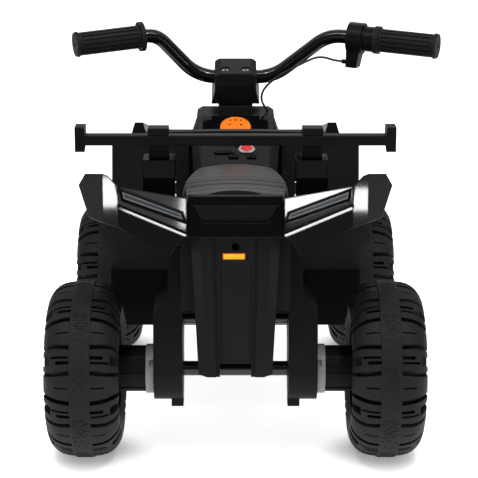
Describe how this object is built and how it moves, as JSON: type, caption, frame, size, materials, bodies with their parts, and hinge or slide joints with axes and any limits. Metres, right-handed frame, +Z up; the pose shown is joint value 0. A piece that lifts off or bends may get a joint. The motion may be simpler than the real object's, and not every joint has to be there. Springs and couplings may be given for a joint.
{
  "type": "kids quad bike",
  "caption": "Battery ride-on quad bike for a small child, black plastic with a grey ribbed seat, twist throttle and rear rack.",
  "frame": {"origin": "on the ground, midway along the vehicle and on its middle plane", "axes": "+X to the rider's right, +Y forward, +Z up"},
  "size_m": [0.5808, 0.7958, 0.579],
  "materials": {
    "black_plastic": "matte moulded plastic",
    "gloss_black": "gloss moulded plastic",
    "tyre_black": "satin blow-moulded tyre",
    "rim_black": "matte moulded plastic",
    "tube_black": "gloss powder coat",
    "axle_steel": "zinc plated steel",
    "grip_rubber": "matte soft moulding",
    "seat_grey": "satin ribbed moulding",
    "ring_nylon": "plain nylon",
    "lamp_smoke": "smoked clear plastic",
    "lamp_clear": "clear plastic",
    "pad_orange": "matte plastic",
    "button_red": "gloss plastic",
    "bezel_chrome": "bright plating",
    "switch_grey": "matte plastic",
    "clamp_grey": "satin plastic",
    "cable_black": "flexible sheath",
    "battery_case": "matte plastic",
    "motor_steel": "plated can",
    "bush_nylon": "plain nylon"
  },
  "bodies": {
    "chassis": {"chassis_tub": "black_plastic", "left_gearbox_casing": "black_plastic", "right_gearbox_casing": "black_plastic", "tank_cover": "black_plastic", "steering_cowl": "black_plastic", "front_body": "black_plastic", "front_rack": "black_plastic", "front_bumper": "black_plastic", "tail_cover": "black_plastic", "rack_posts": "black_plastic", "rack_cross_bar": "black_plastic", "rear_rack": "black_plastic", "seat_base": "black_plastic", "control_box": "black_plastic", "charge_socket": "black_plastic", "media_panel": "black_plastic", "left_rear_fender": "gloss_black", "right_rear_fender": "gloss_black", "tail_box": "gloss_black", "dash_panel": "gloss_black", "axle_sleeve": "tube_black", "cross_tube": "tube_black", "front_axle_beam": "tube_black", "rear_axle_rod": "axle_steel", "seat": "seat_grey", "left_tail_lamp": "lamp_smoke", "right_tail_lamp": "lamp_smoke", "headlamps": "lamp_clear", "sound_pad": "pad_orange", "button_bezel": "bezel_chrome", "throttle_cable": "cable_black", "battery": "battery_case", "drive_motors": "motor_steel", "stem_bushes": "bush_nylon"},
    "steering": {"steering_stem": "axle_steel", "clamp_body": "black_plastic", "clamp_cap": "clamp_grey", "clamp_bolts": "axle_steel", "handlebar": "tube_black", "left_grip": "grip_rubber", "throttle_housing": "black_plastic"},
    "throttle": {"throttle_grip": "grip_rubber"},
    "left_steer": {"left_knuckle": "axle_steel"},
    "right_steer": {"right_knuckle": "axle_steel"},
    "left_link": {"left_tie_rod": "axle_steel"},
    "right_link": {"right_tie_rod": "axle_steel"},
    "front_left_wheel": {"front_left_tyre": "tyre_black", "front_left_rim": "rim_black"},
    "front_right_wheel": {"front_right_tyre": "tyre_black", "front_right_rim": "rim_black"},
    "rear_left_wheel": {"rear_left_tyre": "tyre_black", "rear_left_rim": "rim_black", "left_drive_ring": "ring_nylon"},
    "rear_right_wheel": {"rear_right_tyre": "tyre_black", "rear_right_rim": "rim_black", "right_drive_ring": "ring_nylon"},
    "button": {"power_button": "button_red"},
    "rocker_left": {"left_rocker": "switch_grey"},
    "rocker_right": {"right_rocker": "switch_grey"}
  },
  "joints": [
    {"name": "steering_turn", "type": "hinge", "parent": "chassis", "child": "steering", "pos_m": [0, 0.118, 0.488], "axis": [0, -0.309, 0.9511], "range_deg": [-22, 22], "deforming": ["throttle_cable"]},
    {"name": "left_steer_turn", "type": "hinge", "parent": "chassis", "child": "left_steer", "pos_m": [-0.145, 0.248, 0.156], "axis": [0, 0, 1], "range_deg": [-22, 22]},
    {"name": "right_steer_turn", "type": "hinge", "parent": "chassis", "child": "right_steer", "pos_m": [0.145, 0.248, 0.156], "axis": [0, 0, 1], "range_deg": [-22, 22]},
    {"name": "left_link_turn", "type": "hinge", "parent": "steering", "child": "left_link", "pos_m": [0, 0.17359, 0.18747], "axis": [0, -0.309, 0.9511], "range_deg": [-22, 22]},
    {"name": "right_link_turn", "type": "hinge", "parent": "steering", "child": "right_link", "pos_m": [0, 0.17359, 0.18747], "axis": [0, -0.309, 0.9511], "range_deg": [-22, 22]},
    {"name": "front_left_spin", "type": "hinge", "parent": "left_steer", "child": "front_left_wheel", "pos_m": [-0.212, 0.248, 0.126], "axis": [1, 0, 0], "continuous": true},
    {"name": "front_right_spin", "type": "hinge", "parent": "right_steer", "child": "front_right_wheel", "pos_m": [0.212, 0.248, 0.126], "axis": [1, 0, 0], "continuous": true},
    {"name": "rear_left_spin", "type": "hinge", "parent": "chassis", "child": "rear_left_wheel", "pos_m": [-0.212, -0.262, 0.126], "axis": [1, 0, 0], "continuous": true},
    {"name": "rear_right_spin", "type": "hinge", "parent": "chassis", "child": "rear_right_wheel", "pos_m": [0.212, -0.262, 0.126], "axis": [1, 0, 0], "continuous": true},
    {"name": "throttle_twist", "type": "hinge", "parent": "steering", "child": "throttle", "pos_m": [0.306, 0.036, 0.547], "axis": [0.9366, -0.3454, -0.0585], "range_deg": [0, 55], "stiffness_Nm_per_rad": 0.25},
    {"name": "button_press", "type": "slide", "parent": "chassis", "child": "button", "axis": [0, 0.331, -0.9436], "range_m": [0, 0.0025], "stiffness_N_per_m": 400},
    {"name": "left_rocker_tip", "type": "hinge", "parent": "chassis", "child": "rocker_left", "pos_m": [-0.003, -0.03296, 0.3861], "axis": [1, 0, 0], "range_deg": [-10, 10]},
    {"name": "right_rocker_tip", "type": "hinge", "parent": "chassis", "child": "rocker_right", "pos_m": [0.0245, -0.03296, 0.3861], "axis": [1, 0, 0], "range_deg": [-10, 10]}
  ],
  "couplings": [
    {"joint": "left_steer_turn", "follows": "steering_turn", "ratio": 1},
    {"joint": "right_steer_turn", "follows": "steering_turn", "ratio": 1},
    {"joint": "left_link_turn", "follows": "steering_turn", "ratio": -1},
    {"joint": "right_link_turn", "follows": "steering_turn", "ratio": -1}
  ]
}
